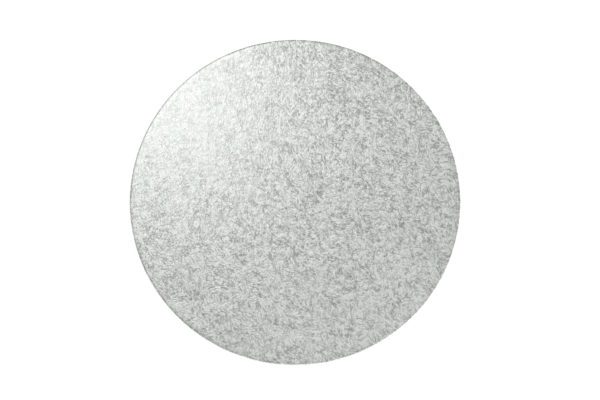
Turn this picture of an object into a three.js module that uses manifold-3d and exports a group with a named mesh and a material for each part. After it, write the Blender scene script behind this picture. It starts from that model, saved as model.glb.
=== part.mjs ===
// Round cake board with a turned edge, ten inches across. A greyboard disc is wrapped in one sheet
// of embossed silver foil paper, which rolls over the rim and is glued down underneath, where its
// slack is gathered in small radial tucks. A plain paper disc covers the tucks and is what the
// board stands on. Millimetres, +Z up, with the origin under the centre, on the standing surface.

import * as THREE from 'three';
import { mergeVertices, toCreasedNormals } from 'three/addons/utils/BufferGeometryUtils.js';
import Module from 'manifold-3d';

const wasm = await Module();
wasm.setup();

// The board and its layers
const BOARD_DIAMETER = 254;
const CORE_THICKNESS = 2.25;
const FOIL_THICKNESS = 0.15;
const LINING_THICKNESS = 0.15;

// The rim, measured on the outside of the foil: the pressed edge of the board falls away in a wide
// crown, turns down at the shoulder and comes back under at the heel
const CROWN_RADIUS = 60;
const CROWN_SLOPE = THREE.MathUtils.degToRad(4);
const SHOULDER_RADIUS = 1.1;
const HEEL_RADIUS = 0.7;

// The foil turned under the board, and the tucks that take up its slack
const MARGIN_WIDTH = 18;
const TUCK_COUNT = 60;
const TUCK_OPENING = 4; // run from the heel over which a tuck opens out of the sheet
const TUCK_SLOPE_RUN = 0.9; // width of the slope on the side away from the folded edge
const TUCK_END_STEP = 0.4; // how far the folded layers end short of the sheet's cut edge
const TUCK_LEAN = 0.1; // sideways run of a tuck for each millimetre of its length
const TUCK_VARIATION = 0.4; // spread of the tucks' widths and places about the even ones

// The paper disc underneath: how far it stays in from the rim, and how it steps over the foil
const LINING_SETBACK = 8;
const LINING_RAMP = 3;
const LINING_CLEARANCE = 0.3;

// Facets round the board and along the curves of its section
const ROUND_STEPS = 96;
const CROWN_STEPS = 3;
const SHOULDER_STEPS = 5;
const HEEL_STEPS = 4;
const RAMP_STEPS = 5;
const WELD_DISTANCE = 1e-4;
const GOLDEN_TURN = Math.PI * (3 - Math.sqrt(5));

// Heights of the layers, from the standing surface up. A tuck adds two layers of foil to the
// sheet and is rooted halfway into it.
const rimRadius = BOARD_DIAMETER / 2;
const tuckHeight = 2 * FOIL_THICKNESS;
const tuckRoot = FOIL_THICKNESS / 2;
const marginBottom = LINING_THICKNESS + tuckHeight;
const coreBottom = marginBottom + FOIL_THICKNESS;
const coreTop = coreBottom + CORE_THICKNESS;
const boardTop = coreTop + FOIL_THICKNESS;

// Radii of the rim's rounds, and of the foil's cut edge. On a thin board the shoulder takes up to
// half of the wall's height and the heel up to a third.
const wallHeight = boardTop - marginBottom;
const shoulderRadius = Math.min(SHOULDER_RADIUS, wallHeight / 2);
const heelRadius = Math.min(HEEL_RADIUS, wallHeight / 3);
const marginInner = rimRadius - MARGIN_WIDTH;

function point(radius, height) {
  return new THREE.Vector2(radius, height);
}

// Clockwise arc of the section, in the plane of radius and height
function arc(centreRadius, centreHeight, radius, from, to, steps) {
  const curve = new THREE.EllipseCurve(centreRadius, centreHeight, radius, radius, from, to, true);
  return curve.getPoints(steps);
}

// Half section of the rim, from the start of the crown round to the heel, moved in by inset
function rimSection(inset) {
  const shoulderCentre = rimRadius - shoulderRadius;
  const crownReach = CROWN_RADIUS - shoulderRadius;
  const crownCentre = shoulderCentre - crownReach * Math.sin(CROWN_SLOPE);
  const crownLevel = boardTop - CROWN_RADIUS;
  const shoulderLevel = crownLevel + crownReach * Math.cos(CROWN_SLOPE);
  const heelCentre = rimRadius - heelRadius;
  const heelLevel = marginBottom + heelRadius;
  const up = Math.PI / 2;
  const tilted = up - CROWN_SLOPE;
  return [
    ...arc(crownCentre, crownLevel, CROWN_RADIUS - inset, up, tilted, CROWN_STEPS),
    ...arc(shoulderCentre, shoulderLevel, shoulderRadius - inset, tilted, 0, SHOULDER_STEPS).slice(1),
    ...arc(heelCentre, heelLevel, heelRadius - inset, 0, -up, HEEL_STEPS),
  ];
}

// Solid of revolution about Z. Its half section starts on the axis, runs down the outside and
// ends on the axis again.
function turned(section) {
  return new THREE.LatheGeometry([...section].reverse(), ROUND_STEPS).rotateX(Math.PI / 2);
}

function asSolid(geometry) {
  const bare = geometry.clone();
  bare.deleteAttribute('normal');
  bare.deleteAttribute('uv');
  const merged = mergeVertices(bare, WELD_DISTANCE);
  const corners = merged.index.array;
  const faces = [];
  for (let i = 0; i < corners.length; i += 3) {
    const [a, b, c] = [corners[i], corners[i + 1], corners[i + 2]];
    if (a !== b && b !== c && c !== a) faces.push(a, b, c);
  }
  return new wasm.Manifold(new wasm.Mesh({
    numProp: 3,
    vertProperties: merged.attributes.position.array,
    triVerts: new Uint32Array(faces),
  }));
}

function asGeometry(solid) {
  const mesh = solid.getMesh();
  const geometry = new THREE.BufferGeometry();
  geometry.setAttribute('position', new THREE.BufferAttribute(mesh.vertProperties, 3));
  geometry.setIndex(new THREE.BufferAttribute(mesh.triVerts, 1));
  return geometry;
}

// The sheet of foil before its slack is gathered: over the top, round the rim and back under
function foilSheet() {
  return turned([
    point(0, boardTop),
    ...rimSection(0),
    point(marginInner, marginBottom),
    point(marginInner, coreBottom),
    ...rimSection(FOIL_THICKNESS).reverse(),
    point(0, coreTop),
  ]);
}

// One tuck: the slack of its share of the margin, laid over to one side as two more layers of
// foil. Its folded edge is a step and its other side runs out in a slope. Towards the rim, where
// there is no slack, it narrows to nothing and sinks back into the sheet.
function tuck(index) {
  const swing = Math.sin(index * GOLDEN_TURN);
  const lean = TUCK_LEAN * Math.cos(index * GOLDEN_TURN);
  const foldWidth = (Math.PI * MARGIN_WIDTH / TUCK_COUNT) * (1 + TUCK_VARIATION * swing);
  const section = new THREE.Shape()
    .moveTo(0, 0)
    .lineTo(foldWidth + TUCK_SLOPE_RUN, 0)
    .lineTo(foldWidth + TUCK_SLOPE_RUN, tuckRoot)
    .lineTo(foldWidth, tuckRoot + tuckHeight)
    .lineTo(FOIL_THICKNESS, tuckRoot + tuckHeight)
    .lineTo(0, tuckRoot + FOIL_THICKNESS);
  const geometry = new THREE.ExtrudeGeometry(section, { depth: 2, steps: 2, bevelEnabled: false });

  const sunk = tuckRoot / 2 / (tuckRoot + tuckHeight);
  const stations = [
    { run: 0, rise: sunk },
    { run: TUCK_OPENING, rise: 1 },
    { run: MARGIN_WIDTH - heelRadius - TUCK_END_STEP, rise: 1 },
  ];
  const corner = geometry.attributes.position;
  for (let i = 0; i < corner.count; i++) {
    const { run, rise } = stations[corner.getZ(i)];
    const across = corner.getX(i) * (heelRadius + run) / MARGIN_WIDTH + lean * run;
    const height = marginBottom + tuckRoot - corner.getY(i) * rise;
    corner.setXYZ(i, rimRadius - heelRadius - run, across, height);
  }
  return geometry.rotateZ((index + TUCK_VARIATION * swing) * 2 * Math.PI / TUCK_COUNT);
}

function foilCover() {
  let cover = asSolid(foilSheet());
  for (let index = 0; index < TUCK_COUNT; index++) {
    cover = cover.add(asSolid(tuck(index)));
  }
  return asGeometry(cover);
}

function coreBoard() {
  return turned([
    point(0, coreTop),
    ...rimSection(FOIL_THICKNESS),
    point(0, coreBottom),
  ]);
}

// The paper lies on the core in the middle and steps down over the cut edge of the foil to lie on
// the tucks. The ring over the tucks is the standing surface.
function baseLining() {
  const outer = rimRadius - LINING_SETBACK;
  const rampOuter = marginInner - LINING_CLEARANCE;
  const rampInner = rampOuter - LINING_RAMP;
  const rampMiddle = (rampOuter + rampInner) / 2;
  const ramp = new THREE.CubicBezierCurve(
    point(rampInner, coreBottom),
    point(rampMiddle, coreBottom),
    point(rampMiddle, LINING_THICKNESS),
    point(rampOuter, LINING_THICKNESS),
  ).getPoints(RAMP_STEPS);
  const under = ramp.map((p) => point(p.x, p.y - LINING_THICKNESS)).reverse();
  return turned([
    point(0, coreBottom),
    ...ramp,
    point(outer, LINING_THICKNESS),
    point(outer, 0),
    ...under,
    point(0, coreBottom - LINING_THICKNESS),
  ]);
}

function piece(name, geometry, finish) {
  const mesh = new THREE.Mesh(
    toCreasedNormals(geometry, Math.PI / 6),
    new THREE.MeshStandardMaterial(finish),
  );
  mesh.name = name;
  return mesh;
}

const cakeBoard = new THREE.Group();
cakeBoard.add(
  piece('foil_cover', foilCover(), { color: 0xc9cbc8, roughness: 0.3, metalness: 1 }),
  piece('core_board', coreBoard(), { color: 0x9b948a, roughness: 0.95, metalness: 0 }),
  piece('base_lining', baseLining(), { color: 0xeeece6, roughness: 0.85, metalness: 0 }),
);

export default cakeBoard;
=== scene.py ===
import math

import bmesh
import bpy
from mathutils import Matrix, Vector, noise


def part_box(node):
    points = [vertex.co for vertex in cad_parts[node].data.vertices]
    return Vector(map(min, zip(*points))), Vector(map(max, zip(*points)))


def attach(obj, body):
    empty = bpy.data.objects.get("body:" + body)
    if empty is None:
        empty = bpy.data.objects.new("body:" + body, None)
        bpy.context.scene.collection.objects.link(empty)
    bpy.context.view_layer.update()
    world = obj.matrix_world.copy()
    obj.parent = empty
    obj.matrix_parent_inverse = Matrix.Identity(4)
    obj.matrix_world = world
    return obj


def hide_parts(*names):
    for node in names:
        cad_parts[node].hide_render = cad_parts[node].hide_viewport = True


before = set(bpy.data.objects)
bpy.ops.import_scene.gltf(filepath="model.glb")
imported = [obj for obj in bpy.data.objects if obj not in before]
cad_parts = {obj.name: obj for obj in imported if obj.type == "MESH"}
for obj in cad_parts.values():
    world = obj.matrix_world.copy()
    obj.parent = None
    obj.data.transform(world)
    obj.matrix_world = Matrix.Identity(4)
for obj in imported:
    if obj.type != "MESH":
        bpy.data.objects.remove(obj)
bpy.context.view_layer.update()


# Greyboard core
# A disc of board pressed from recycled paper pulp, die cut, with its edge crushed a little
# thinner. It is glued inside the foil and the base paper, and none of it shows when whole.

MM = 0.001
GREYBOARD_COLOUR = (0.36, 0.33, 0.29, 1.0)
GREYBOARD_DARK = (0.20, 0.18, 0.16, 1.0)
GREYBOARD_FLECK = (0.60, 0.58, 0.53, 1.0)
GREYBOARD_ROUGHNESS = 0.95
GREYBOARD_COARSENESS = 1.6
GREYBOARD_FIBRE_DEPTH = 0.08 * MM

# Paper pulp: scales are per millimetre, and spans are those of a noise, which lies about 0.5.
FIBRE_SCALE = 1.6
FIBRE_SPAN = (0.40, 0.72)
FIBRE_ALONG = (0.5, 2.2, 1.0)
FIBRE_ACROSS = (2.2, 0.5, 1.0)
PULP_CLOUD_SCALE = 0.07
PULP_CLOUD_SPAN = (0.35, 0.65)
PULP_SPECK_SCALE = 0.9
PULP_SPECK_SPAN = (0.66, 0.74)


def surface_place(tree):
    """Place on the object, in millimetres."""
    place = tree.nodes.new("ShaderNodeTexCoord")
    scale = tree.nodes.new("ShaderNodeMapping")
    scale.inputs["Scale"].default_value = (1 / MM, 1 / MM, 1 / MM)
    tree.links.new(place.outputs["Object"], scale.inputs["Vector"])
    return scale.outputs["Vector"]


def noise_at(tree, vector, scale, detail):
    """Three independent noises at the same scale, most of them from 0.3 to 0.7."""
    texture = tree.nodes.new("ShaderNodeTexNoise")
    texture.inputs["Scale"].default_value = scale
    texture.inputs["Detail"].default_value = detail
    tree.links.new(vector, texture.inputs["Vector"])
    split = tree.nodes.new("ShaderNodeSeparateColor")
    tree.links.new(texture.outputs["Color"], split.inputs["Color"])
    return list(split.outputs)


def feed(tree, socket, value):
    """Gives a socket its value, or links it to the node that the value comes from."""
    if isinstance(value, bpy.types.NodeSocket):
        tree.links.new(value, socket)
    elif value is not None:
        socket.default_value = value


def calc(tree, operation, first, second=None):
    node = tree.nodes.new("ShaderNodeMath")
    node.operation = operation
    feed(tree, node.inputs[0], first)
    feed(tree, node.inputs[1], second)
    return node.outputs["Value"]


def vector_calc(tree, operation, first, second=None):
    node = tree.nodes.new("ShaderNodeVectorMath")
    node.operation = operation
    feed(tree, node.inputs[0], first)
    feed(tree, node.inputs["Scale" if operation == "SCALE" else 1], second)
    is_number = operation in ("DISTANCE", "DOT_PRODUCT", "LENGTH")
    return node.outputs["Value" if is_number else "Vector"]


def ramp(tree, value, low, high, to_low, to_high):
    """A smooth step from one value to another."""
    node = tree.nodes.new("ShaderNodeMapRange")
    node.interpolation_type = "SMOOTHSTEP"
    node.inputs["From Min"].default_value = low
    node.inputs["From Max"].default_value = high
    node.inputs["To Min"].default_value = to_low
    node.inputs["To Max"].default_value = to_high
    tree.links.new(value, node.inputs["Value"])
    return node.outputs["Result"]


def stretched(tree, vector, scale):
    """A place with its axes scaled, so that a pattern on it is drawn out along the small ones."""
    node = tree.nodes.new("ShaderNodeMapping")
    node.inputs["Scale"].default_value = scale
    tree.links.new(vector, node.inputs["Vector"])
    return node.outputs["Vector"]


def pulp_group():
    """Matted paper fibres lying every way, with a slow cloudiness and scattered specks."""
    group = bpy.data.node_groups.new("paper_pulp", "ShaderNodeTree")
    coarse = group.interface.new_socket("Coarseness", in_out="INPUT", socket_type="NodeSocketFloat")
    coarse.default_value = 1.0
    for name in ("Fibre", "Cloud", "Speck"):
        group.interface.new_socket(name, in_out="OUTPUT", socket_type="NodeSocketFloat")
    given = group.nodes.new("NodeGroupInput")
    fineness = calc(group, "DIVIDE", 1.0, given.outputs["Coarseness"])
    place = vector_calc(group, "SCALE", surface_place(group), fineness)
    lengthwise = noise_at(group, stretched(group, place, FIBRE_ALONG), FIBRE_SCALE, 3.0)
    crosswise = noise_at(group, stretched(group, place, FIBRE_ACROSS), FIBRE_SCALE, 3.0)
    fibre = calc(group, "MAXIMUM", lengthwise[0], crosswise[0])
    cloud = noise_at(group, place, PULP_CLOUD_SCALE, 4.0)[0]
    speck = noise_at(group, place, PULP_SPECK_SCALE, 1.0)[0]
    out = group.nodes.new("NodeGroupOutput")
    feed(group, out.inputs["Fibre"], ramp(group, fibre, *FIBRE_SPAN, 0.0, 1.0))
    feed(group, out.inputs["Cloud"], ramp(group, cloud, *PULP_CLOUD_SPAN, 0.0, 1.0))
    feed(group, out.inputs["Speck"], ramp(group, speck, *PULP_SPECK_SPAN, 0.0, 1.0))
    return group


def new_material(name, roughness, metallic=0.0):
    material = bpy.data.materials.new(name)
    material.use_nodes = True
    shader = material.node_tree.nodes["Principled BSDF"]
    shader.inputs["Roughness"].default_value = roughness
    shader.inputs["Metallic"].default_value = metallic
    return material, material.node_tree, shader


def placed(tree, group):
    node = tree.nodes.new("ShaderNodeGroup")
    node.node_tree = group
    return node


def mixed(tree, mask, first, second):
    """One colour passing into another by a mask. Either colour may come from a node."""
    mix = tree.nodes.new("ShaderNodeMix")
    mix.data_type = "RGBA"
    tree.links.new(mask, mix.inputs["Factor"])
    feed(tree, mix.inputs["A"], first)
    feed(tree, mix.inputs["B"], second)
    return mix.outputs["Result"]


def raised(tree, height, distance, under=None):
    """Bump of a height, in metres, over another normal if there is one."""
    bump = tree.nodes.new("ShaderNodeBump")
    bump.inputs["Distance"].default_value = distance
    tree.links.new(height, bump.inputs["Height"])
    if under:
        tree.links.new(under, bump.inputs["Normal"])
    return bump.outputs["Normal"]


paper_pulp = pulp_group()
greyboard, tree, shader = new_material("greyboard", GREYBOARD_ROUGHNESS)
pulp = placed(tree, paper_pulp)
pulp.inputs["Coarseness"].default_value = GREYBOARD_COARSENESS
body = mixed(tree, pulp.outputs["Cloud"], GREYBOARD_DARK, GREYBOARD_COLOUR)
fibres = mixed(tree, pulp.outputs["Fibre"], body, GREYBOARD_COLOUR)
flecked = mixed(tree, pulp.outputs["Speck"], fibres, GREYBOARD_FLECK)
feed(tree, shader.inputs["Base Color"], flecked)
matted = raised(tree, pulp.outputs["Fibre"], GREYBOARD_FIBRE_DEPTH)
feed(tree, shader.inputs["Normal"], matted)
core = bpy.data.objects["core_board"]
core.data.materials.clear()
core.data.materials.append(greyboard)


# Silver foil cover
# One sheet of foil laminated to paper and embossed with short curled strokes, glued over the
# face of the board, drawn round its rim and folded under, where its slack lies in small tucks.

foil_low, foil_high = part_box("foil_cover")
RIM_RADIUS = foil_high.x
BOARD_TOP = foil_high.z
FOIL_THICKNESS = 0.15 * MM
TUCK_HEIGHT = 2 * FOIL_THICKNESS
SHEET_BOTTOM = foil_low.z + TUCK_HEIGHT
MARGIN_WIDTH = 18 * MM
MARGIN_INNER = RIM_RADIUS - MARGIN_WIDTH
CROWN_RADIUS = 60 * MM
CROWN_SLOPE = math.radians(4)
CROWN_STEPS = 5
SHOULDER_RADIUS = 1.1 * MM
SHOULDER_STEPS = 6
HEEL_RADIUS = 0.7 * MM
HEEL_STEPS = 4
MARGIN_STEPS = 3
FACE_RINGS = 150
RELIEF_DEPTH = 0.045 * MM  # the pressing goes down to twice this
RELIEF_CALM = 0.02  # share of the face's radius over which the pressing fades at the crown
RELIEF_SWIRL = 2.0  # sideways wander of the pressing, mm
RELIEF_SWIRL_SCALE = 0.09
RELIEF_SEED = 1
RELIEF_WAVES = (  # height, scale per millimetre, and place in the noise
    (0.60, 0.22, Vector((0.0, 0.0, 0.0))),
    (0.65, 0.42, Vector((7.1, 3.3, 0.0))),
)
SHARP_ANGLE = math.radians(40)
SECTOR_SLACK = 1e-6
MIDDLE_SLACK = 1e-9


def pressed_height(x, y):
    """Uneven pressing of the foil face at a place in metres, from about -1 to 1."""
    place = Vector((x, y, 0.0)) / MM
    place = place + RELIEF_SWIRL * noise.noise_vector(place * RELIEF_SWIRL_SCALE)
    return sum(height * noise.noise(place * scale + start) for height, scale, start in RELIEF_WAVES)


def ring_place(corner):
    """Place on the round face of a corner of the six-sided net, ring by ring. Both have a
    radius of 1."""
    sixth = math.pi / 3
    sector = math.floor(math.atan2(corner.y, corner.x) / sixth + SECTOR_SLACK)
    start = Vector((math.cos(sector * sixth), math.sin(sector * sixth)))
    end = Vector((math.cos((sector + 1) * sixth), math.sin((sector + 1) * sixth)))
    spot = corner.xy
    across = spot.cross(start) / end.cross(start)
    ring = across + spot.cross(end) / start.cross(end)
    angle = (sector + (across / ring if ring > MIDDLE_SLACK else 0.0)) * sixth
    return Vector((ring * math.cos(angle), ring * math.sin(angle), 0.0))


def rim_section():
    """Radius of the flat face, and points from there round the rim and back inside the sheet."""
    shoulder = RIM_RADIUS - SHOULDER_RADIUS
    reach = CROWN_RADIUS - SHOULDER_RADIUS
    crown = shoulder - reach * math.sin(CROWN_SLOPE)
    crown_level = BOARD_TOP - CROWN_RADIUS
    shoulder_level = crown_level + reach * math.cos(CROWN_SLOPE)
    heel = RIM_RADIUS - HEEL_RADIUS
    points = []

    def arc(radius, level, size, start, end, steps, first):
        for step in range(first, steps + 1):
            tilt = start + (end - start) * step / steps
            points.append((radius + size * math.sin(tilt), level + size * math.cos(tilt)))

    arc(crown, crown_level, CROWN_RADIUS, 0.0, CROWN_SLOPE, CROWN_STEPS, 1)
    arc(shoulder, shoulder_level, SHOULDER_RADIUS, CROWN_SLOPE, math.pi / 2, SHOULDER_STEPS, 1)
    arc(heel, SHEET_BOTTOM + HEEL_RADIUS, HEEL_RADIUS, math.pi / 2, math.pi, HEEL_STEPS, 0)
    for step in range(1, MARGIN_STEPS + 1):
        points.append((RIM_RADIUS - MARGIN_WIDTH * step / MARGIN_STEPS, SHEET_BOTTOM))
    inner = SHEET_BOTTOM + FOIL_THICKNESS
    points.append((MARGIN_INNER, inner))
    points.append((RIM_RADIUS - FOIL_THICKNESS, inner))
    points.append((shoulder, BOARD_TOP - 2 * FOIL_THICKNESS))
    return crown, points


noise.seed_set(RELIEF_SEED)  # without it, noise_vector differs from run to run
face_radius, rim = rim_section()
foil_mesh = bmesh.new()
bmesh.ops.create_circle(foil_mesh, cap_ends=True, cap_tris=True, segments=6, radius=1.0,
                        matrix=Matrix.Rotation(-math.pi / 2, 4, "Z"))
bmesh.ops.subdivide_edges(foil_mesh, edges=foil_mesh.edges[:], cuts=FACE_RINGS - 1,
                          use_grid_fill=True)
for vert in foil_mesh.verts:
    spot = ring_place(vert.co)
    calm = min(1.0, (1.0 - spot.length) / RELIEF_CALM)
    vert.co = spot * face_radius
    vert.co.z = BOARD_TOP + RELIEF_DEPTH * calm * (pressed_height(vert.co.x, vert.co.y) - 1.0)
edge_loop = [edge for edge in foil_mesh.edges if edge.is_boundary]
for radius, height in rim:
    grown = bmesh.ops.extrude_edge_only(foil_mesh, edges=edge_loop)["geom"]
    edge_loop = [item for item in grown if isinstance(item, bmesh.types.BMEdge)]
    for vert in {vert for edge in edge_loop for vert in edge.verts}:
        spoke = Vector((vert.co.x, vert.co.y, 0.0)).normalized()
        vert.co = spoke * radius + Vector((0.0, 0.0, height))
bmesh.ops.holes_fill(foil_mesh, edges=edge_loop)

# Each tuck is the slack of its share of the margin, laid over to one side as two more layers.
# It starts from nothing near the rim and ends just short of the cut edge of the sheet. Its
# folded edge is rounded, and its other side runs out in an S.

TUCK_COUNT = 60
TUCK_SLOPE_RUN = 0.9 * MM
TUCK_END_STEP = 0.4 * MM
TUCK_OPENING = 4 * MM
TUCK_LEAN = 0.1
TUCK_VARIATION = 0.4
TUCK_STEPS = 10
TUCK_ROOT = FOIL_THICKNESS / 2
TUCK_SUNK = 0.2
GOLDEN_TURN = math.pi * (3 - math.sqrt(5))


def tuck_facts(index):
    """Place round the board, width at the cut edge and sideways lean of a tuck."""
    swing = TUCK_VARIATION * math.sin(index * GOLDEN_TURN)
    angle = (index + swing) * 2 * math.pi / TUCK_COUNT
    width = math.pi * MARGIN_WIDTH / TUCK_COUNT * (1 + swing)
    return angle, width, TUCK_LEAN * math.cos(index * GOLDEN_TURN)


def fold_tuck(mesh, index):
    angle, width, lean = tuck_facts(index)
    top = TUCK_ROOT + TUCK_HEIGHT
    profile = [
        (0.0, 0.0),
        (width + TUCK_SLOPE_RUN, 0.0),
        (width + TUCK_SLOPE_RUN, TUCK_ROOT),
        (width + 0.75 * TUCK_SLOPE_RUN, TUCK_ROOT + 0.15 * TUCK_HEIGHT),
        (width + 0.25 * TUCK_SLOPE_RUN, TUCK_ROOT + 0.85 * TUCK_HEIGHT),
        (width, top),
        (1.2 * FOIL_THICKNESS, top),
        (0.35 * FOIL_THICKNESS, top - 0.2 * FOIL_THICKNESS),
        (0.0, top - 0.9 * FOIL_THICKNESS),
    ]
    length = MARGIN_WIDTH - HEEL_RADIUS - TUCK_END_STEP
    end = mesh.faces.new([mesh.verts.new((across, height, 0.0)) for across, height in profile])
    corners = list(end.verts)
    for step in range(TUCK_STEPS):
        grown = bmesh.ops.extrude_face_region(mesh, geom=[end])["geom"]
        fresh = [item for item in grown if isinstance(item, bmesh.types.BMVert)]
        if step:
            mesh.faces.remove(end)
        end = next(item for item in grown if isinstance(item, bmesh.types.BMFace))
        bmesh.ops.translate(mesh, verts=fresh, vec=(0.0, 0.0, length / TUCK_STEPS))
        corners += fresh
    turn = Matrix.Rotation(angle, 3, "Z")
    for corner in corners:
        across, height, run = corner.co
        opened = min(1.0, run / TUCK_OPENING)
        rise = TUCK_SUNK + (1 - TUCK_SUNK) * opened * opened * (3 - 2 * opened)
        side = across * (HEEL_RADIUS + run) / MARGIN_WIDTH + lean * run
        level = SHEET_BOTTOM + TUCK_ROOT - height * rise
        corner.co = turn @ Vector((RIM_RADIUS - HEEL_RADIUS - run, side, level))


tuck_mesh = bmesh.new()
for index in range(TUCK_COUNT):
    fold_tuck(tuck_mesh, index)
tuck_data = bpy.data.meshes.new("tucks")
tuck_mesh.to_mesh(tuck_data)
tuck_mesh.free()
foil_mesh.from_mesh(tuck_data)
bpy.data.meshes.remove(tuck_data)
bmesh.ops.recalc_face_normals(foil_mesh, faces=foil_mesh.faces[:])


def as_piece(mesh, name, material):
    """Object of a finished mesh: smooth, but for its sharp edges."""
    for face in mesh.faces:
        face.smooth = True
    for edge in mesh.edges:
        edge.smooth = edge.calc_face_angle(0.0) < SHARP_ANGLE
    data = bpy.data.meshes.new(name)
    mesh.to_mesh(data)
    mesh.free()
    data.materials.append(material)
    piece = bpy.data.objects.new(name, data)
    bpy.context.scene.collection.objects.link(piece)
    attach(piece, "root")
    return piece


# The foil is satin and faintly greener in places. Its pressed pattern has places and widths in
# millimetres and scales per millimetre. A span is where a change starts and ends, in the values
# of a noise or in millimetres. The strokes are coloured darker, as painted shade in their grooves.
# Towards one side of the board, where the light is mirrored, the strokes and grain are pressed
# shallower, the strokes are painted fainter as a painted highlight, and the strokes lie more
# alike: reach is the distance from there.

FOIL_COLOUR = (0.936, 0.946, 0.917, 1.0)
FOIL_GREENER = (0.902, 0.944, 0.907, 1.0)
# painted shade: the colour the foil darkens to in its pressed strokes and along the rim
STROKE_SHADE_COLOUR = (0.407, 0.421, 0.407, 1.0)
FOIL_ROUGHNESS = 0.25
TINT_SCALE = 0.09
NOISE_SPAN = (0.30, 0.70)
LIGHT_PLACE = (-95.0, 70.0, 0.0)
PATCH_WIDTH = 9.0
PATCH_SPREAD = math.radians(110)
LIGHT_SPREAD = 0.3 * PATCH_SPREAD
SPREAD_SPAN = (60.0, 140.0)
LEANS = (math.radians(-86), math.radians(-148))
LEAN_SPAN = (70.0, 160.0)
STROKE_DRAW = (0.6, 1.0, 1.0)
STROKE_SCALE = 0.195
STROKE_WIDTH = 0.070
STROKE_DEPTH = 0.08 * MM
STROKE_TONE = 0.8
GAP_SCALE = 0.62
GAP_SPAN = (0.38, 0.54)
CLOUD_SCALE = 0.175
CLOUD_SPAN = (0.34, 0.66)
THIN_CLOUD = 0.48
HAZE_TONES = (0.02, 0.25)
GRAIN_SCALE = 0.95
GRAIN_DEPTH = 0.10 * MM
GRAIN_TONE = 0.26
LIGHT_GRAIN = 0.8
LIGHT_GRAIN_SPAN = (20.0, 110.0)
# painted highlight: towards LIGHT_PLACE the strokes are drawn this much fainter, so that side reads
# lighter
HIGHLIGHT_STROKE_FADE = 0.39
HIGHLIGHT_STROKE_FADE_SPAN = (0.0, 150.0)
FRONT_STROKE = 0.84
FRONT_SPAN = (-125.0, -10.0)

# A line of painted shade along the rim, darkest on the side nearest LIGHT_PLACE, and the fine
# creases of the foil where it is drawn down the wall and under the board.
RIM_SHADE_WIDTH = 2.0
RIM_SHADE_TONE = 0.48
RIM_SHADE_RISE = (1.0, 0.5)  # start and end of its inner side, in widths from the rim
RIM_SHADE_FALL = (0.45, 0.1)
RIM_SHADE_EDGE = 0.3
RIM_SHADE_FAR = 0.2
RIM_SHADE_FAR_SPAN = (60.0, 230.0)
CREASE_SCALE = 0.8
CREASE_STRETCH = 0.12
CREASE_SPAN = (0.35, 0.65)
CREASE_DEPTH = 0.12 * MM
WALL_SPAN = (0.8, 2.1)  # heights between which the creases die out


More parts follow.
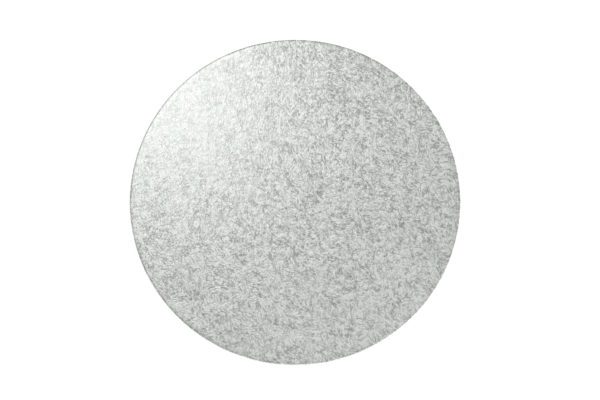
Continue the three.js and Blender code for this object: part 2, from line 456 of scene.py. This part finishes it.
def stroke_group():
    """Pressed pattern of the foil. Stroke: short curled marks that lie a new way in each small
    patch, denser in some clouds than in others; the foil's colour darkens in them as painted
    shade. Grain: fine unevenness. Tint: where the foil is greener. Its fourth output is painted
    shade along the rim. Crease: folds down the wall."""
    group = bpy.data.node_groups.new("pressed_strokes", "ShaderNodeTree")
    for name in ("Stroke", "Grain", "Tint", "RimShade", "Crease"):
        group.interface.new_socket(name, in_out="OUTPUT", socket_type="NodeSocketFloat")
    place = surface_place(group)
    flat = stretched(group, place, (1.0, 1.0, 0.0))
    axes = group.nodes.new("ShaderNodeSeparateXYZ")
    feed(group, axes.inputs["Vector"], place)
    reach = vector_calc(group, "DISTANCE", place, LIGHT_PLACE)

    patch = group.nodes.new("ShaderNodeTexVoronoi")
    patch.voronoi_dimensions = "2D"
    patch.inputs["Scale"].default_value = 1 / PATCH_WIDTH
    feed(group, patch.inputs["Vector"], place)
    own = group.nodes.new("ShaderNodeSeparateColor")
    feed(group, own.inputs["Color"], patch.outputs["Color"])
    spread = ramp(group, reach, *SPREAD_SPAN, LIGHT_SPREAD, PATCH_SPREAD)
    swing = calc(group, "MULTIPLY", calc(group, "SUBTRACT", own.outputs["Red"], 0.5), spread)
    lie = group.nodes.new("ShaderNodeVectorRotate")
    lie.rotation_type = "Z_AXIS"
    feed(group, lie.inputs["Vector"], place)
    feed(group, lie.inputs["Center"], patch.outputs["Position"])
    lean = ramp(group, reach, *LEAN_SPAN, *LEANS)
    feed(group, lie.inputs["Angle"], calc(group, "ADD", lean, swing))
    laid = stretched(group, lie.outputs["Vector"], STROKE_DRAW)

    curls = noise_at(group, laid, STROKE_SCALE, 2.0)
    gaps = noise_at(group, laid, GAP_SCALE, 1.0)
    clouds = noise_at(group, place, CLOUD_SCALE, 2.0)
    grain = noise_at(group, laid, GRAIN_SCALE, 3.0)
    clear = 1.0
    for curl, gap in zip(curls, gaps):
        off_line = calc(group, "ABSOLUTE", calc(group, "SUBTRACT", curl, 0.5))
        line = ramp(group, off_line, 0.0, STROKE_WIDTH, 1.0, 0.0)
        mark = calc(group, "MULTIPLY", line, ramp(group, gap, *GAP_SPAN, 0.0, STROKE_TONE))
        clear = calc(group, "MULTIPLY", clear, calc(group, "SUBTRACT", 1.0, mark))
    stroke = calc(group, "SUBTRACT", 1.0, clear)
    # the strokes are thinned in clouds, hazed and grained at random, painted fainter towards
    # LIGHT_PLACE as a painted highlight, and fainter towards the front
    for operation, change in (
        ("MULTIPLY", ramp(group, clouds[0], *CLOUD_SPAN, THIN_CLOUD, 1.0)),
        ("ADD", ramp(group, clouds[1], *NOISE_SPAN, *HAZE_TONES)),
        ("ADD", ramp(group, grain[1], *NOISE_SPAN, -GRAIN_TONE, GRAIN_TONE)),
        ("MULTIPLY", ramp(group, reach, *HIGHLIGHT_STROKE_FADE_SPAN, HIGHLIGHT_STROKE_FADE, 1.0)),
        ("MULTIPLY", ramp(group, axes.outputs["Y"], *FRONT_SPAN, FRONT_STROKE, 1.0)),
    ):
        stroke = calc(group, operation, stroke, change)
    firm = ramp(group, reach, *LIGHT_GRAIN_SPAN, LIGHT_GRAIN, 1.0)
    tint = noise_at(group, place, TINT_SCALE, 3.0)[0]

    # painted shade: a band along the rim is darkened, less so far from LIGHT_PLACE
    rim = RIM_RADIUS / MM
    spoke = vector_calc(group, "LENGTH", flat)
    rise = [rim - share * RIM_SHADE_WIDTH for share in RIM_SHADE_RISE]
    fall = [rim - share * RIM_SHADE_WIDTH for share in RIM_SHADE_FALL]
    rim_shade = ramp(group, spoke, *rise, 0.0, 1.0)
    rim_shade = calc(group, "MULTIPLY", rim_shade, ramp(group, spoke, *fall, 1.0, RIM_SHADE_EDGE))
    rim_shade = calc(group, "MULTIPLY", rim_shade, ramp(group, reach, *RIM_SHADE_FAR_SPAN, 1.0, RIM_SHADE_FAR))

    around = stretched(group, vector_calc(group, "NORMALIZE", flat), (rim, rim, 1.0))
    along = calc(group, "ADD", spoke, axes.outputs["Z"])
    outward = group.nodes.new("ShaderNodeCombineXYZ")
    feed(group, outward.inputs["Z"], calc(group, "MULTIPLY", along, CREASE_STRETCH))
    beside = vector_calc(group, "ADD", around, outward.outputs["Vector"])
    crease = ramp(group, noise_at(group, beside, CREASE_SCALE, 2.0)[0], *CREASE_SPAN, 0.0, 1.0)
    crease = calc(group, "MULTIPLY", crease, ramp(group, axes.outputs["Z"], *WALL_SPAN, 1.0, 0.0))

    out = group.nodes.new("NodeGroupOutput")
    feed(group, out.inputs["Stroke"], stroke)
    feed(group, out.inputs["Grain"], calc(group, "MULTIPLY", grain[0], firm))
    feed(group, out.inputs["Tint"], ramp(group, tint, *NOISE_SPAN, 0.0, 1.0))
    feed(group, out.inputs["RimShade"], rim_shade)
    feed(group, out.inputs["Crease"], crease)
    return group


pressed_strokes = stroke_group()
silver, tree, shader = new_material("silver_foil", FOIL_ROUGHNESS, 1.0)
press = placed(tree, pressed_strokes)
bright = mixed(tree, press.outputs["Tint"], FOIL_COLOUR, FOIL_GREENER)
# painted shade: the foil is darkened towards the stroke colour in its strokes and along the rim
painted_rim_shade = calc(tree, "MULTIPLY", press.outputs["RimShade"], RIM_SHADE_TONE)
painted_shade_mask = calc(tree, "ADD", press.outputs["Stroke"], painted_rim_shade)
feed(tree, shader.inputs["Base Color"], mixed(tree, painted_shade_mask, bright, STROKE_SHADE_COLOUR))
sunk = raised(tree, calc(tree, "MULTIPLY", press.outputs["Stroke"], -1.0), STROKE_DEPTH)
grained = raised(tree, press.outputs["Grain"], GRAIN_DEPTH, sunk)
creased = raised(tree, press.outputs["Crease"], CREASE_DEPTH, grained)
feed(tree, shader.inputs["Normal"], creased)
foil = as_piece(foil_mesh, "embossed_foil", silver)
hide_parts("foil_cover")


# Base lining
# A disc of plain white paper glued over the gathered foil and the bare board inside it. It dips
# a little between the tucks and steps up over the foil's cut edge, and the board stands on it.

lining_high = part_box("base_lining")[1]
LINING_RADIUS = lining_high.x
LINING_THICKNESS = 0.15 * MM
BOARD_BOTTOM = lining_high.z
LINING_CLEARANCE = 0.3 * MM
LINING_RAMP = 3 * MM
LINING_TURNS = 480
RAMP_STEPS = 8
RING_STEPS = 6
LINING_DIP = 0.06 * MM
DIP_EASE = 2 * MM
SEAM_DISTANCE = 1e-7
TENT_WIDTH = 2.4 * MM
LINING_COLOUR = (0.86, 0.85, 0.81, 1.0)
LINING_SHADE = (0.82, 0.808, 0.765, 1.0)
LINING_ROUGHNESS = 0.85
LINING_COARSENESS = 0.7
LINING_FIBRE_DEPTH = 0.03 * MM


def lining_section():
    """Half section of the paper, from the middle of its upper side round to that of its lower."""
    outer_ramp = MARGIN_INNER - LINING_CLEARANCE
    upper = [(0.0, BOARD_BOTTOM), (0.5 * MARGIN_INNER, BOARD_BOTTOM)]
    for step in range(RAMP_STEPS + 1):
        share = step / RAMP_STEPS
        ease = share * share * (3 - 2 * share)
        level = BOARD_BOTTOM + (LINING_THICKNESS - BOARD_BOTTOM) * ease
        upper.append((outer_ramp - LINING_RAMP * (1 - share), level))
    ring_width = LINING_RADIUS - outer_ramp
    for step in range(1, RING_STEPS + 1):
        upper.append((outer_ramp + ring_width * step / RING_STEPS, LINING_THICKNESS))
    lower = [(radius, level - LINING_THICKNESS) for radius, level in upper]
    return upper + lower[::-1]


def between_tucks(x, y):
    """How far a place lies from the tucks, from 0 on one to 1 in the open."""
    radius = math.hypot(x, y)
    run = RIM_RADIUS - HEEL_RADIUS - radius
    turn = math.atan2(y, x) % (2 * math.pi)
    nearest = round(turn * TUCK_COUNT / (2 * math.pi))
    apart = 1.0
    for index in (nearest - 1, nearest, nearest + 1):
        angle, width, lean = tuck_facts(index % TUCK_COUNT)
        middle = 0.5 * width * (HEEL_RADIUS + run) / MARGIN_WIDTH + lean * run
        off = (turn - angle + math.pi) % (2 * math.pi) - math.pi
        apart = min(apart, 1 - math.exp(-((radius * off - middle) / TENT_WIDTH) ** 2))
    return apart


lining_mesh = bmesh.new()
corners = [lining_mesh.verts.new((radius, 0.0, level)) for radius, level in lining_section()]
section = [lining_mesh.edges.new(pair) for pair in zip(corners, corners[1:])]
bmesh.ops.spin(lining_mesh, geom=corners + section, cent=(0, 0, 0), axis=(0, 0, 1),
               angle=2 * math.pi, steps=LINING_TURNS, use_merge=True)
bmesh.ops.remove_doubles(lining_mesh, verts=lining_mesh.verts[:], dist=SEAM_DISTANCE)
for vert in lining_mesh.verts:
    radius = vert.co.xy.length
    over_tucks = min(1.0, max(0.0, (radius - MARGIN_INNER) / DIP_EASE))
    if over_tucks:
        vert.co.z += LINING_DIP * over_tucks * between_tucks(vert.co.x, vert.co.y)
bmesh.ops.recalc_face_normals(lining_mesh, faces=lining_mesh.faces[:])

plain_paper, tree, shader = new_material("lining_paper", LINING_ROUGHNESS)
pulp = placed(tree, paper_pulp)
pulp.inputs["Coarseness"].default_value = LINING_COARSENESS
cloudy = mixed(tree, pulp.outputs["Cloud"], LINING_SHADE, LINING_COLOUR)
feed(tree, shader.inputs["Base Color"], mixed(tree, pulp.outputs["Fibre"], cloudy, LINING_COLOUR))
feed(tree, shader.inputs["Normal"], raised(tree, pulp.outputs["Fibre"], LINING_FIBRE_DEPTH))
lining = as_piece(lining_mesh, "paper_lining", plain_paper)
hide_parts("base_lining")


# Floor, light and camera
# A wide white table with a low white backdrop round it, under soft light. The foil mirrors one
# large diffuser behind it on the left, and walls that are paler on that side.

FLOOR_SIZE = 8.0
FLOOR_COLOUR = (0.9, 0.9, 0.9, 1.0)
FLOOR_ROUGHNESS = 0.9
FLOOR_GLOW = 0.48

floor_mesh = bmesh.new()
bmesh.ops.create_grid(floor_mesh, x_segments=1, y_segments=1, size=FLOOR_SIZE / 2)
floor_data = bpy.data.meshes.new("floor")
floor_mesh.to_mesh(floor_data)
floor_mesh.free()
floor = bpy.data.objects.new("floor", floor_data)
bpy.context.scene.collection.objects.link(floor)
floor_paint, tree, shader = new_material("floor_paint", FLOOR_ROUGHNESS)
shader.inputs["Base Color"].default_value = FLOOR_COLOUR
shader.inputs["Emission Color"].default_value = (FLOOR_GLOW, FLOOR_GLOW, FLOOR_GLOW, 1.0)


def seen_ray(tree):
    """1 for what the camera sees, straight or in metal and glass, and 0 for light on things."""
    rays = tree.nodes.new("ShaderNodeLightPath")
    mirrored = calc(tree, "MAXIMUM", rays.outputs["Is Glossy Ray"],
                    rays.outputs["Is Transmission Ray"])
    return calc(tree, "MAXIMUM", rays.outputs["Is Camera Ray"], mirrored)


feed(tree, shader.inputs["Emission Strength"], seen_ray(tree))
floor_data.materials.append(floor_paint)

# The room, as rows of a direction, the cosines towards it between which the light changes, and
# the light before and after. The walls' rows are added up. Below them the room is darker, down
# to the backdrop, which is white wherever it is seen.
UP = Vector((0.0, 0.0, 1.0))
DIFFUSER = (Vector((-0.19, 0.40, 1.0)).normalized(), 0.948, 0.998, 0.0, 0.565)
WALLS = (
    (Vector((-0.66, 0.75, 0.0)), -0.08, 0.75, 0.645, 0.800),
    (Vector((0.90, -0.44, 0.0)), -0.03, 0.09, 0.0, 0.10),
    (Vector((-0.60, -0.80, 0.0)), -0.14, 0.08, 0.0, -0.078),
    (Vector((-0.80, 0.60, 0.0)), 0.26, 0.44, 0.0, 0.08),
    (Vector((0.80, 0.50, 0.0)), 0.12, 0.36, 0.0, -0.12),
)
LOW_DOWN = (Vector((-0.80, 0.45, 0.0)), -0.60, 0.60, 0.80, 0.40)
HIGH_UP = (UP, 0.30, 0.82, 0.0, 1.0)
BACKDROP = (UP, 0.215, 0.25, 1.0, 0.0)

room = bpy.data.worlds.new("room")
room.use_nodes = True
bpy.context.scene.world = room
tree = room.node_tree
way = tree.nodes.new("ShaderNodeTexCoord")


def light_toward(direction, low, high, to_low, to_high):
    """Light that changes from one level to another as a ray turns towards a direction."""
    facing = vector_calc(tree, "DOT_PRODUCT", way.outputs["Generated"], direction)
    return ramp(tree, facing, low, high, to_low, to_high)


walls = light_toward(*WALLS[0])
for row in WALLS[1:]:
    walls = calc(tree, "ADD", walls, light_toward(*row))
low_down = light_toward(*LOW_DOWN)
above = calc(tree, "MULTIPLY", calc(tree, "SUBTRACT", walls, low_down), light_toward(*HIGH_UP))
level = calc(tree, "ADD", calc(tree, "ADD", above, low_down), light_toward(*DIFFUSER))
white = calc(tree, "MULTIPLY", light_toward(*BACKDROP), seen_ray(tree))
background = tree.nodes["Background"]
background.inputs["Color"].default_value = (1.0, 1.0, 1.0, 1.0)
feed(tree, background.inputs["Strength"], calc(tree, "MAXIMUM", level, white))

# The camera looks down on the board, a little from the front, in a frame 600 pixels wide.
FRAME_WIDTH = 600
BOARD_PIXELS = 331.35
FRAME_MIDDLE = (4.95, -3.2)  # pixels from the board's middle
VIEW_TILT = math.radians(10.4)
VIEW_DISTANCE = 0.7
SENSOR_WIDTH = 36.0

pixels_per_metre = BOARD_PIXELS / (2 * RIM_RADIUS)
target = Vector((*FRAME_MIDDLE, 0.0)) / pixels_per_metre + Vector((0.0, 0.0, BOARD_TOP))
toward_camera = Vector((0.0, -math.sin(VIEW_TILT), math.cos(VIEW_TILT)))
camera = bpy.data.objects.new("camera", bpy.data.cameras.new("camera"))
camera.data.sensor_width = SENSOR_WIDTH
camera.data.lens = SENSOR_WIDTH * pixels_per_metre * VIEW_DISTANCE / FRAME_WIDTH
camera.location = target + VIEW_DISTANCE * toward_camera
camera.rotation_euler = (VIEW_TILT, 0.0, 0.0)
bpy.context.scene.collection.objects.link(camera)
bpy.context.scene.camera = camera
bpy.context.scene.view_settings.view_transform = "Standard"
